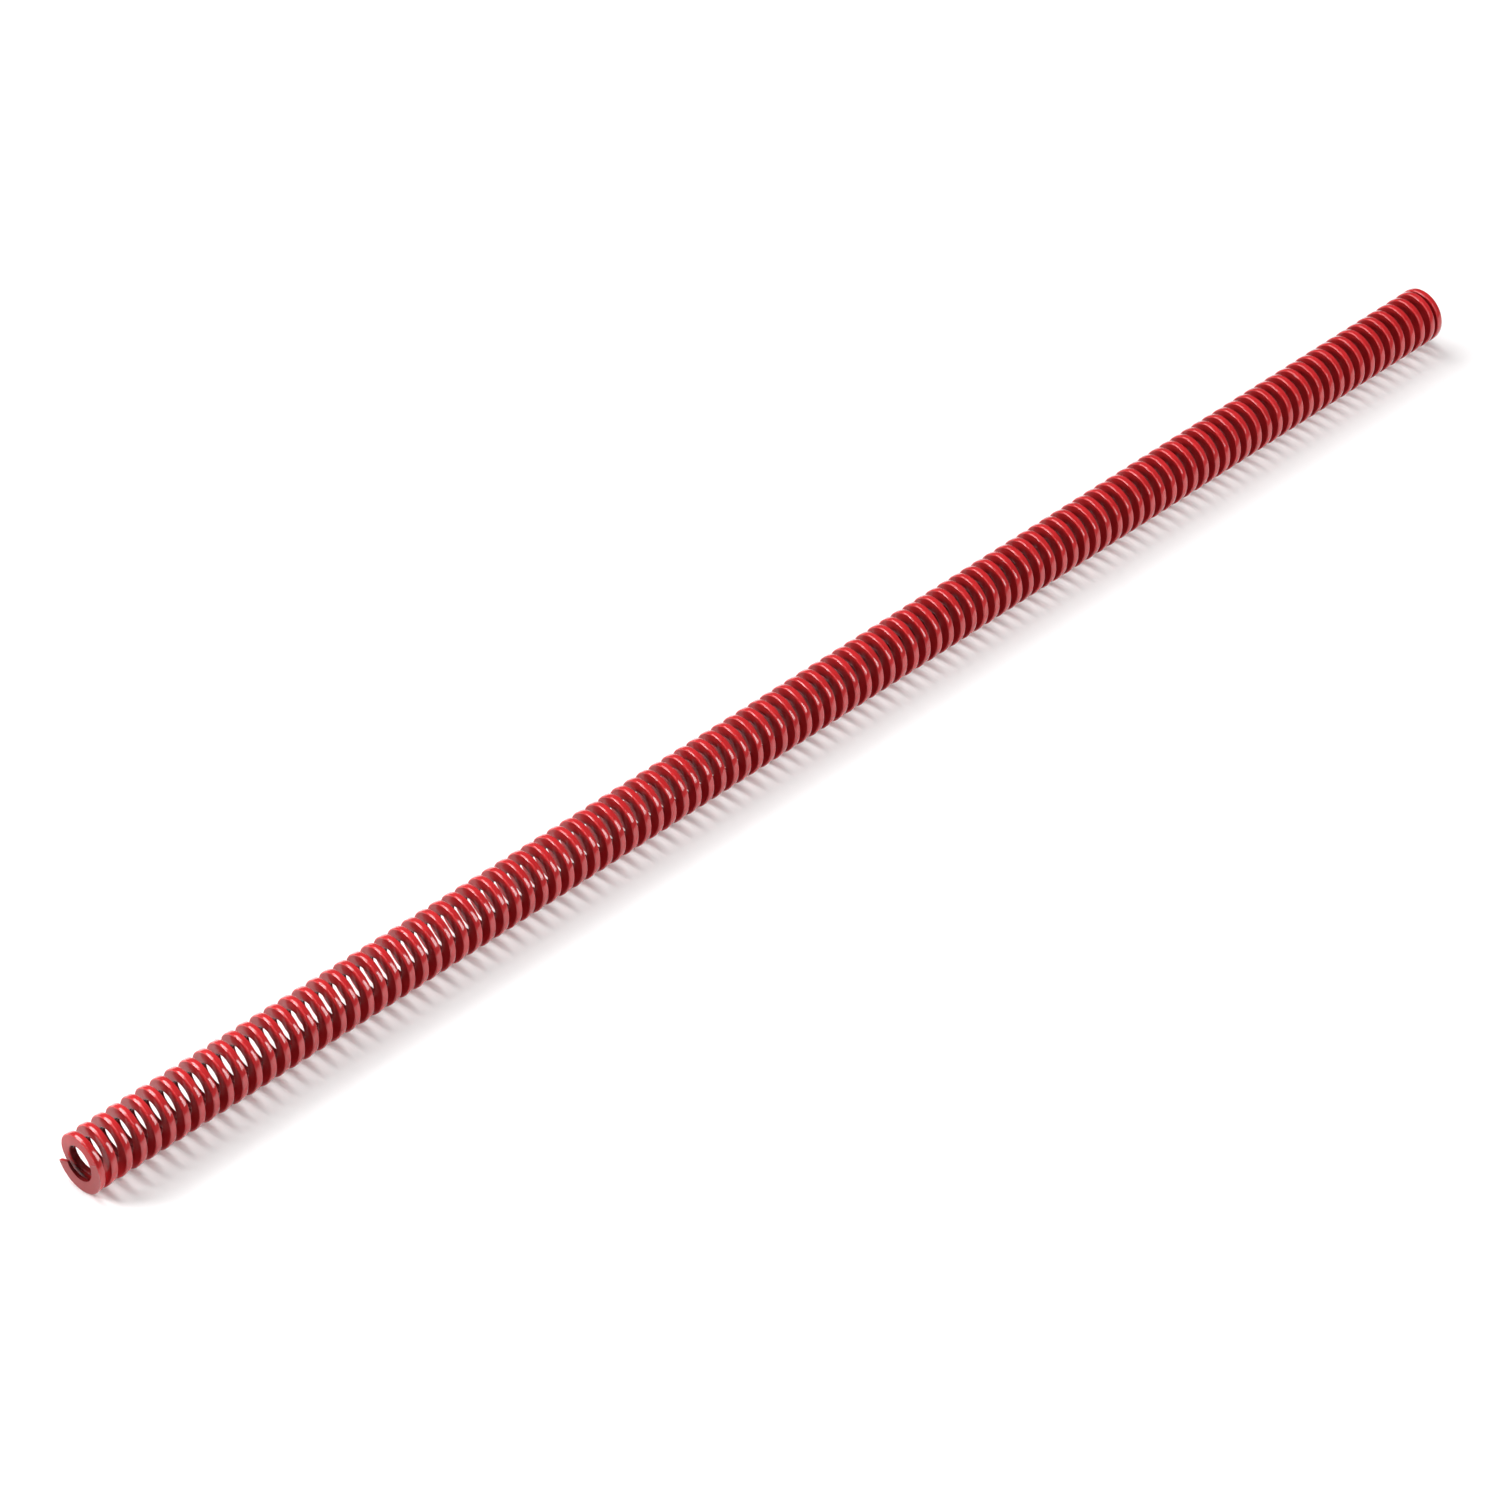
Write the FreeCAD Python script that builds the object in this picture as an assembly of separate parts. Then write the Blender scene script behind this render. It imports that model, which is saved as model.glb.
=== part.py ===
import FreeCAD, Part
import math
import os

from FreeCAD import Vector

# A long die spring, wound left hand from one length of flat-sided wire.
# Both ends are closed down to the next coil and ground flat across the axis.
# It lies along X on the plane Z = 0, with the origin under the middle of its length.
# Sizes are in millimetres, angles in degrees, and places along the wire in turns.

# Sizes of the coil
free_length = 305.0
outer_diameter = 9.6
inner_diameter = 5.5
total_turns = 112.25

# The wire, which is wider across the coil than it is thick along the axis
wire_thickness = 1.2

# The ends: what the grinding leaves of the wire's tip, and how far the coils stay closed
tip_thickness = 0.5
closed_gap = 0.08
closed_turns_first_end = 0.4
closed_turns_last_end = 1.0
opening_turns = 0.65

# Where the first tip stands, clockwise from the top as seen from the first end
first_tip_angle = 248.0

# The round coil is made in straight lengths, set so that they are staggered from turn to turn
lengths_per_turn = 12.5

outer_radius = outer_diameter / 2
inner_radius = inner_diameter / 2
closed_pitch = wire_thickness + closed_gap
tip_centre = tip_thickness - wire_thickness / 2

# The turns that the two closed ends take out of an evenly wound coil
lost_turns = closed_turns_first_end + closed_turns_last_end + opening_turns
active_length = free_length - 2 * tip_centre - closed_pitch * lost_turns
active_pitch = active_length / (total_turns - lost_turns)


def opened_share(share):
    """How far the coil has opened, summed over a transition that eases in and out."""
    if share <= 0:
        return 0.0
    if share >= 1:
        return share - 0.5
    return share ** 3 - share ** 4 / 2


def turns_lost_since_tip(turns, closed_turns):
    """The turns wound closed between a tip and a place this many turns from it."""
    opened = opening_turns * opened_share((turns - closed_turns) / opening_turns)
    return turns - opened


def height_at(turn):
    """The height of the wire's centre line above the first ground face."""
    lost_first = turns_lost_since_tip(turn, closed_turns_first_end)
    lost_last = turns_lost_since_tip(total_turns - turn, closed_turns_last_end)
    lost_last_in_all = closed_turns_last_end + opening_turns / 2
    lost = lost_first + lost_last_in_all - lost_last
    return tip_centre + active_pitch * turn - (active_pitch - closed_pitch) * lost


def wire_section(turn):
    """The four corners of the wire where it stands square across the coil at a turn.

    They go round as inner low, outer low, outer high, inner high. The coil turns the
    left-hand way, so its angle falls as it climbs.
    """
    angle = -2 * math.pi * turn
    across = Vector(math.cos(angle), math.sin(angle), 0)
    low = Vector(0, 0, height_at(turn) - wire_thickness / 2)
    high = Vector(0, 0, height_at(turn) + wire_thickness / 2)
    return [
        across * inner_radius + low,
        across * outer_radius + low,
        across * outer_radius + high,
        across * inner_radius + high,
    ]


def flat_face(corners):
    """A flat face with these corners."""
    return Part.Face(Part.makePolygon(corners + corners[:1]))


def faces_of_length(first, last):
    """The sides of one straight length of wire between two of its sections.

    The outer and inner sides are flat. The lower and upper sides are twisted a little by
    the climb of the coil, so each is folded along its diagonal into two flat halves.
    """
    faces = [
        flat_face([first[1], last[1], last[2], first[2]]),
        flat_face([first[0], first[3], last[3], last[0]]),
    ]
    for inner, outer in ((0, 1), (3, 2)):
        faces.append(flat_face([first[inner], first[outer], last[outer]]))
        faces.append(flat_face([first[inner], last[outer], last[inner]]))
    return faces


def wound_coil():
    """The coil as it comes off the winding, with full wire right up to both tips."""
    lengths = max(3, round(total_turns * lengths_per_turn))
    turns = [total_turns * i / lengths for i in range(lengths + 1)]
    sections = [wire_section(turn) for turn in turns]
    faces = [flat_face(sections[0]), flat_face(sections[-1])]
    for first, last in zip(sections, sections[1:]):
        faces.extend(faces_of_length(first, last))
    skin = Part.makeCompound(faces)
    skin.sewShape(1e-5)
    return Part.Solid(skin.Shells[0])


def ground_coil():
    """The coil with both ends ground flat, at the free length."""
    margin = outer_radius
    between = Part.makeBox(
        outer_diameter + 2 * margin,
        outer_diameter + 2 * margin,
        free_length,
        Vector(-outer_radius - margin, -outer_radius - margin, 0),
    )
    return wound_coil().common(between).Solids[0]


def laid_down(shape):
    """The coil turned from standing on its first end to lying along X on the plane Z = 0.

    Its first tip would come to lie at the bottom, half a turn from the top.
    """
    lying = shape.copy()
    lying.rotate(Vector(0, 0, 0), Vector(0, 0, 1), 180 + first_tip_angle)
    lying.rotate(Vector(0, 0, 0), Vector(0, 1, 0), 90)
    lying.translate(Vector(-free_length / 2, 0, outer_radius))
    return lying


os.makedirs("parts", exist_ok=True)
spring = laid_down(ground_coil())
spring.exportStep("parts/die_spring.step")
print("solids", len(spring.Solids), "faces", len(spring.Faces), "volume", round(spring.Volume, 2))
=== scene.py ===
import math

import bpy
import numpy as np
from mathutils import Matrix, Vector


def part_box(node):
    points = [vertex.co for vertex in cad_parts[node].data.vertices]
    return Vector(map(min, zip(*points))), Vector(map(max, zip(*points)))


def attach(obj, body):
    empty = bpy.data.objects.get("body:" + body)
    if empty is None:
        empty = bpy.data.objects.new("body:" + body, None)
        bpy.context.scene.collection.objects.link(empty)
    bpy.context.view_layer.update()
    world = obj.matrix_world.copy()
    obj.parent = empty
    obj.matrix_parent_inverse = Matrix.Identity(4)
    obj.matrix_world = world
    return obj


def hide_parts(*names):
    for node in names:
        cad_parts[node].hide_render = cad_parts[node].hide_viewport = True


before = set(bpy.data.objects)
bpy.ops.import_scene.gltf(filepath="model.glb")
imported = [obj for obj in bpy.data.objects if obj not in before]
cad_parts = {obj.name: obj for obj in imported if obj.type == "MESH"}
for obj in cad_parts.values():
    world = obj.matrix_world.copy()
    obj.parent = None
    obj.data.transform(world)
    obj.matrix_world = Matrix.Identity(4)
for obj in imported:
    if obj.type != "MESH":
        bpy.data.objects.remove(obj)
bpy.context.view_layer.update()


# The coil: one length of flat-sided spring steel wire, wound left hand round a mandrel in 112
# turns. Both ends are closed down to the next coil and ground flat. Glossy red paint covers it
# all, its gloss duller on the ground ends and fading towards the bore. Its colour holds a painted
# highlight on the wire's edges, painted shade in the bore and between the turns, and a painted
# sheen in the duller red of the ground ends.

coil_low, coil_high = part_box("die_spring")
free_length = coil_high.x - coil_low.x
outer_radius = min(coil_high.y, -coil_low.y)
axis_height = (coil_high.z + coil_low.z) / 2

total_turns = 112.25
wire_thickness = 0.00120
bore_radius = 0.00275
corner_radius = 0.00025
face_crown = math.radians(9.0)
flank_crown = face_crown / 3
tip_thickness = 0.00050
closed_gap = 0.00008
closed_turns_first_end = 0.40
closed_turns_last_end = 1.00
opening_turns = 0.65
first_tip_angle = math.radians(248.0)

rings_per_turn = 44
points_per_corner = 5

closed_pitch = wire_thickness + closed_gap
tip_centre = tip_thickness - wire_thickness / 2
lost_turns = closed_turns_first_end + closed_turns_last_end + opening_turns
active_length = free_length - 2 * tip_centre - closed_pitch * lost_turns
active_pitch = active_length / (total_turns - lost_turns)

deep_red = (0.505, 0.014, 0.017, 1)
light_red = (0.615, 0.022, 0.026, 1)
deep_red_up_to = 0.30
light_red_from = 0.70
drift_scale = 260
drift_detail = 3
# A lighter, pinker red on the wire's rounded edges: a painted highlight.
highlight_red_over_edges = (0.630, 0.040, 0.044, 1)
highlight_share_over_edges = 0.35
roughness = 0.24

peel_scale = 700
peel_detail = 2
peel_strength = 0.30
peel_depth = 0.00001

# The wire faces out by 1 on the outside of the coil, 0 on its flanks and -1 in the bore.
# A near-black red, laid more thickly towards the bore and between the turns: painted shade.
shade_red_in_bore = (0.06, 0.004, 0.005, 1)
shade_share_in_bore = 0.85
bore_shade_begins_at = 0.45
bore_shade_is_full_at = -0.60
coat_begins_at = -0.20

# The ground ends: a duller red over the grinding, made pinker by a painted pale sheen.
red_and_sheen_on_ground_faces = (0.31, 0.055, 0.056, 1)
roughness_on_ground_faces = 0.48


def opened_share(share):
    """0 before the opening, share^3 - share^4 / 2 during it, and share - 1/2 after it."""
    inside = np.clip(share, 0, 1)
    return inside ** 3 - inside ** 4 / 2 + np.clip(share - 1, 0, None)


def turns_lost(turns, closed_turns):
    """The turns from a tip to a place, less the opening turns times the share opened there."""
    return turns - opening_turns * opened_share((turns - closed_turns) / opening_turns)


def height_at(turn):
    """The first tip's centre plus the active pitch times the turns, less what is lost at the ends.

    What is lost is the active pitch less the closed one, times the turns lost at both ends.
    """
    lost_last_in_all = closed_turns_last_end + opening_turns / 2
    lost = turns_lost(turn, closed_turns_first_end) + lost_last_in_all
    lost = lost - turns_lost(total_turns - turn, closed_turns_last_end)
    return tip_centre + active_pitch * turn - (active_pitch - closed_pitch) * lost


def away_from_axis(turn):
    """(0, -sin a, cos a), where a is the first tip's angle less a full circle for each turn."""
    angle = first_tip_angle - 2 * math.pi * turn
    return np.stack([np.zeros_like(angle), -np.sin(angle), np.cos(angle)], axis=-1)


def round_the_axis(turn):
    """(0, cos a, sin a), with the same a: the way that the left-hand wire goes."""
    angle = first_tip_angle - 2 * math.pi * turn
    return np.stack([np.zeros_like(angle), np.cos(angle), np.sin(angle)], axis=-1)


def wire_profile():
    """A rectangle with round corners: each corner's centre plus its radius times (cos, sin).

    A corner's arc stops short of the quarter circle by the crowns of the two sides that it
    joins, so that the outward direction turns a little across each side, as on drawn wire.
    Gives the places and the outward directions, as (across the coil, along the axis), and how
    near each is to the middle of its corner: sin of twice its angle in the quarter circle.
    """
    half_width = (outer_radius - bore_radius) / 2 - corner_radius
    half_thickness = wire_thickness / 2 - corner_radius
    quarter = np.linspace(face_crown, math.pi / 2 - flank_crown, points_per_corner)
    quarter = np.stack([quarter, math.pi / 2 - quarter[::-1]] * 2)
    angle = (np.arange(4)[:, None] * math.pi / 2 + quarter).ravel()
    outward = np.stack([np.cos(angle), np.sin(angle)], axis=1)
    side = np.repeat([[1, 1], [-1, 1], [-1, -1], [1, -1]], points_per_corner, axis=0)
    place = side * [half_width, half_thickness] + corner_radius * outward
    place[:, 0] += (outer_radius + bore_radius) / 2
    edge = np.sin(2 * quarter).ravel()
    return place, outward, edge


def coil_surface(turn, place, outward):
    """The wire's profile carried round a left-hand helix, and pressed onto the ground planes.

    At a turn the profile stands in the direction away from the axis, and X is the height along
    the axis, held between the two planes. The profile's outward direction is leaned back by the
    slope of the helix at its radius. Gives the points, their outward directions, and which of
    them were past the first plane (-1) or the last one (1).
    """
    radial = away_from_axis(turn)
    travel = round_the_axis(turn)
    height = height_at(turn)
    climb = np.gradient(height, turn)

    along = coil_low.x + height[:, None] + place[None, :, 1]
    points = radial[:, None, :] * place[None, :, 0, None]
    points[:, :, 0] = np.clip(along, coil_low.x, coil_high.x)
    points[:, :, 2] += axis_height
    past = np.where(along < coil_low.x, -1, 0) + np.where(along > coil_high.x, 1, 0)

    slope = climb[:, None] / (2 * math.pi * place[None, :, 0])
    normals = radial[:, None, :] * outward[None, :, 0, None]
    normals = normals - travel[:, None, :] * (slope * outward[None, :, 1])[:, :, None]
    normals[:, :, 0] += outward[None, :, 1]
    normals /= np.linalg.norm(normals, axis=2, keepdims=True)
    return points, normals, past


def write_values(mesh, name, domain, values):
    """Writes a number at each point or face of a mesh, for its material to read."""
    attribute = mesh.attributes.new(name, "FLOAT", domain)
    attribute.data.foreach_set("value", np.asarray(values, np.float32))


def coil_mesh():
    """Quads between neighbouring rings of the surface, and a flat face at each tip.

    A quad that lies on a ground plane is shaded flat, and so are the tips, square to the wire.
    """
    turn = np.linspace(0, total_turns, int(total_turns * rings_per_turn))
    place, outward, edge = wire_profile()
    points, normals, past = coil_surface(turn, place, outward)

    rings, count = past.shape
    index = np.arange(rings * count).reshape(rings, count)
    ahead = np.roll(index, -1, axis=1)
    quads = np.stack([index[:-1], ahead[:-1], ahead[1:], index[1:]], axis=2).reshape(-1, 4)
    first_tip, last_tip = index[0, ::-1], index[-1]
    corners = np.concatenate([quads.ravel(), first_tip, last_tip])
    sizes = np.concatenate([np.full(len(quads), 4), [count, count]])
    starts = np.concatenate([[0], np.cumsum(sizes)[:-1]])

    mesh = bpy.data.meshes.new("spring_coil")
    mesh.vertices.add(rings * count)
    mesh.vertices.foreach_set("co", points.reshape(-1))
    mesh.loops.add(len(corners))
    mesh.loops.foreach_set("vertex_index", corners)
    mesh.polygons.add(len(sizes))
    mesh.polygons.foreach_set("loop_start", starts)
    mesh.update(calc_edges=True)

    pressed = past.reshape(-1)[quads]
    ground = np.where((pressed == pressed[:, :1]).all(axis=1), pressed[:, 0], 0)
    shading = normals.reshape(-1, 3)[corners]
    quad_shading = shading[:quads.size].reshape(-1, 4, 3)
    quad_shading[ground != 0] = 0
    quad_shading[ground != 0, :, 0] = ground[ground != 0, None]
    shading[quads.size:quads.size + count] = -round_the_axis(turn[0])
    shading[quads.size + count:] = round_the_axis(turn[-1])
    mesh.polygons.foreach_set("use_smooth", np.ones(len(sizes), bool))
    mesh.normals_split_custom_set(shading)

    write_values(mesh, "ground_face", "FACE", np.concatenate([np.abs(ground), [0, 0]]))
    write_values(mesh, "wire_edge", "POINT", np.tile(edge, rings))
    write_values(mesh, "faces_out", "POINT", np.tile(outward[:, 0], rings))
    return mesh


def add_node(tree, kind, sockets):
    """A new node, each of whose sockets named is set to a value or linked to another's output."""
    node = tree.nodes.new(kind)
    for socket, value in sockets.items():
        if isinstance(value, bpy.types.NodeSocket):
            tree.links.new(value, node.inputs[socket])
        else:
            node.inputs[socket].default_value = value
    return node


def written(tree, name):
    """The number that the mesh holds under this name."""
    attribute = add_node(tree, "ShaderNodeAttribute", {})
    attribute.attribute_name = name
    return attribute.outputs["Fac"]


def combined(tree, operation, first, second):
    """Two numbers put together by an operation such as ADD, MULTIPLY or MAXIMUM."""
    result = add_node(tree, "ShaderNodeMath", {0: first, 1: second})
    result.operation = operation
    return result.outputs["Value"]


def graded(tree, value, begins_at, is_full_at, low, high, ease="LINEAR"):
    """Goes from low to high while the value goes from where it begins to where it is full."""
    grade = add_node(tree, "ShaderNodeMapRange", {
        "Value": value,
        "From Min": begins_at,
        "From Max": is_full_at,
        "To Min": low,
        "To Max": high,
    })
    grade.interpolation_type = ease
    return grade.outputs["Result"]


def painted_over(tree, colour, other, share):
    """(1 - share) times the colour, plus share times the other one."""
    mix = tree.nodes.new("ShaderNodeMix")
    mix.data_type = "RGBA"
    mix.inputs["B"].default_value = other
    tree.links.new(colour, mix.inputs["A"])
    tree.links.new(share, mix.inputs["Factor"])
    return mix.outputs["Result"]


def spring_paint():
    """Two reds that drift into each other, with a painted highlight on the wire's edges,
    painted shade towards the bore, and a duller red with a painted sheen on the ground faces.
    """
    material = bpy.data.materials.new("glossy_red_spring_paint")
    material.use_nodes = True
    tree = material.node_tree
    tree.nodes.clear()
    place = add_node(tree, "ShaderNodeTexCoord", {}).outputs["Object"]
    wire_edge = written(tree, "wire_edge")
    faces_out = written(tree, "faces_out")
    ground_face = written(tree, "ground_face")

    drift = add_node(tree, "ShaderNodeTexNoise", {
        "Vector": place,
        "Scale": drift_scale,
        "Detail": drift_detail,
    })
    reds = add_node(tree, "ShaderNodeValToRGB", {"Fac": drift.outputs["Fac"]})
    reds.color_ramp.elements[0].position = deep_red_up_to
    reds.color_ramp.elements[0].color = deep_red
    reds.color_ramp.elements[1].position = light_red_from
    reds.color_ramp.elements[1].color = light_red

    # Painted highlight on the edges, painted shade towards the bore, painted sheen on the ground
    # ends.
    painted_edge_highlight = combined(tree, "MULTIPLY", wire_edge, highlight_share_over_edges)
    painted_shade_in_bore = graded(tree, faces_out, bore_shade_begins_at, bore_shade_is_full_at, 0, shade_share_in_bore)
    colour = painted_over(tree, reds.outputs["Color"], highlight_red_over_edges, painted_edge_highlight)
    colour = painted_over(tree, colour, shade_red_in_bore, painted_shade_in_bore)
    colour = painted_over(tree, colour, red_and_sheen_on_ground_faces, ground_face)

    peel = add_node(tree, "ShaderNodeTexNoise", {
        "Vector": place,
        "Scale": peel_scale,
        "Detail": peel_detail,
    })
    relief = add_node(tree, "ShaderNodeBump", {
        "Height": peel.outputs["Fac"],
        "Strength": peel_strength,
        "Distance": peel_depth,
    })
    red = add_node(tree, "ShaderNodeBsdfPrincipled", {
        "Base Color": colour,
        "Roughness": graded(tree, ground_face, 0, 1, roughness, roughness_on_ground_faces),
        "IOR": 1.5,
        "Specular IOR Level": 0.12,
        "Coat Weight": graded(tree, faces_out, coat_begins_at, 1, 0, 1),
        "Coat IOR": 1.65,
        "Coat Roughness": 0.10,
        "Normal": relief.outputs["Normal"],
    })
    add_node(tree, "ShaderNodeOutputMaterial", {"Surface": red.outputs["BSDF"]})
    return material


coil = bpy.data.objects.new("spring_coil", coil_mesh())
coil.data.materials.append(spring_paint())
bpy.context.scene.collection.objects.link(coil)
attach(coil, "root")
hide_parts("die_spring")


# The table: a matt white sheet under the spring, wide enough to reach past the picture on every
# side. The spring's shadow falls on it, and away from the spring it is pure white to the camera.

table_reach = 3.0
sheet_white = (0.86, 0.85, 0.85, 1)
lift_all_over = 0.10
lift_far_away = 0.90
far_lift_begins_at = 0.25
far_lift_is_full_at = 0.80


def sheet_paper():
    """Matt white, plus a lift all over, plus one that grows with the distance from the middle.

    The camera and the gloss of the paint see the first lift, and the camera alone the second.
    """
    material = bpy.data.materials.new("white_paper")
    material.use_nodes = True
    tree = material.node_tree
    tree.nodes.clear()
    place = add_node(tree, "ShaderNodeTexCoord", {}).outputs["Object"]
    distance = add_node(tree, "ShaderNodeVectorMath", {0: place})
    distance.operation = "LENGTH"
    distance = distance.outputs["Value"]
    rays = add_node(tree, "ShaderNodeLightPath", {}).outputs

    all_over = combined(tree, "MAXIMUM", rays["Is Camera Ray"], rays["Is Glossy Ray"])
    all_over = combined(tree, "MULTIPLY", all_over, lift_all_over)
    far = graded(tree, distance, far_lift_begins_at, far_lift_is_full_at, 0, lift_far_away)
    far = combined(tree, "MULTIPLY", far, rays["Is Camera Ray"])

    sheet = add_node(tree, "ShaderNodeBsdfDiffuse", {"Color": sheet_white})
    lift = add_node(tree, "ShaderNodeEmission", {
        "Color": (1, 1, 1, 1),
        "Strength": combined(tree, "ADD", all_over, far),
    })
    both = add_node(tree, "ShaderNodeAddShader", {
        0: sheet.outputs["BSDF"],
        1: lift.outputs["Emission"],
    })
    add_node(tree, "ShaderNodeOutputMaterial", {"Surface": both.outputs["Shader"]})
    return material


table_mesh = bpy.data.meshes.new("table")
table_corners = np.array([(-1, -1, 0), (1, -1, 0), (1, 1, 0), (-1, 1, 0)]) * table_reach
table_mesh.from_pydata(table_corners, [], [(0, 1, 2, 3)])
table_mesh.materials.append(sheet_paper())
table = bpy.data.objects.new("table", table_mesh)
bpy.context.scene.collection.objects.link(table)


# The studio: a large soft lamp on the far side of the spring, a long strip lamp over it, a low
# lamp at its near end, and two upright panels on the camera's side that the paint reflects. The
# walls light the spring dimly, a little more near the table, and are white to the camera.

under_the_spring = (0, 0, 0)
wall_light_low_down = 0.12
wall_light_high_up = 0.04
walls_dim_from = 0.10
walls_dim_to = 0.45


def soft_lamp(name, place, target, width, height, power):
    """A rectangular lamp at a place, turned to shine at a target, which the camera doesn't see."""
    data = bpy.data.lights.new(name, "AREA")
    data.shape = "RECTANGLE"
    data.size = width
    data.size_y = height
    data.energy = power
    lamp = bpy.data.objects.new(name, data)
    aim = (Vector(target) - Vector(place)).to_track_quat("-Z", "Y")
    lamp.matrix_world = Matrix.Translation(place) @ aim.to_matrix().to_4x4()
    lamp.visible_camera = False
    bpy.context.scene.collection.objects.link(lamp)


soft_lamp("main_lamp", place=(0.05, 1.15, 1.40), target=under_the_spring,
          width=0.95, height=1.20, power=24.0)
soft_lamp("overhead_lamp", place=(-0.03, -0.10, 1.70), target=under_the_spring,
          width=0.18, height=1.40, power=8.0)
soft_lamp("end_lamp", place=(-0.42, 0.31, 0.26), target=(-0.15, 0, 0),
          width=0.20, height=0.20, power=2.4)
soft_lamp("side_lamp_left_bar", place=(0.145, -0.42, 0.385), target=under_the_spring,
          width=0.10, height=0.40, power=0.80)
soft_lamp("side_lamp_right_bar", place=(0.265, -0.42, 0.385), target=under_the_spring,
          width=0.10, height=0.40, power=0.80)

studio = bpy.data.worlds.new("studio")
bpy.context.scene.world = studio
studio.use_nodes = True
tree = studio.node_tree
direction = add_node(tree, "ShaderNodeTexCoord", {}).outputs["Generated"]
rise = add_node(tree, "ShaderNodeSeparateXYZ", {"Vector": direction}).outputs["Z"]
wall_light = graded(tree, rise, walls_dim_from, walls_dim_to,
                    wall_light_low_down, wall_light_high_up, ease="SMOOTHSTEP")
seen = add_node(tree, "ShaderNodeLightPath", {}).outputs["Is Camera Ray"]
walls = tree.nodes["Background"]
walls.inputs["Color"].default_value = (1, 1, 1, 1)
tree.links.new(combined(tree, "MAXIMUM", wall_light, seen), walls.inputs["Strength"])


# The camera: it looks along the spring from above its near end, through a long lens, as the
# photograph does. Its place and its direction are those that fit the spring's outline there best.

camera_place = (-0.49321, -0.46200, 0.52066)
look = Vector((0.56692, 0.54832, -0.61477)).normalized()
right = Vector((0.69521, -0.71880, 0.0)).normalized()
up = right.cross(look).normalized()

lens = bpy.data.cameras.new("camera")
lens.lens = 129.24
lens.sensor_width = 36.0
lens.clip_start = 0.01
lens.clip_end = 20.0
camera = bpy.data.objects.new("camera", lens)
turned = Matrix((right, up, -look)).transposed().to_4x4()
camera.matrix_world = Matrix.Translation(camera_place) @ turned
bpy.context.scene.collection.objects.link(camera)
bpy.context.scene.camera = camera
bpy.context.scene.view_settings.view_transform = "Standard"
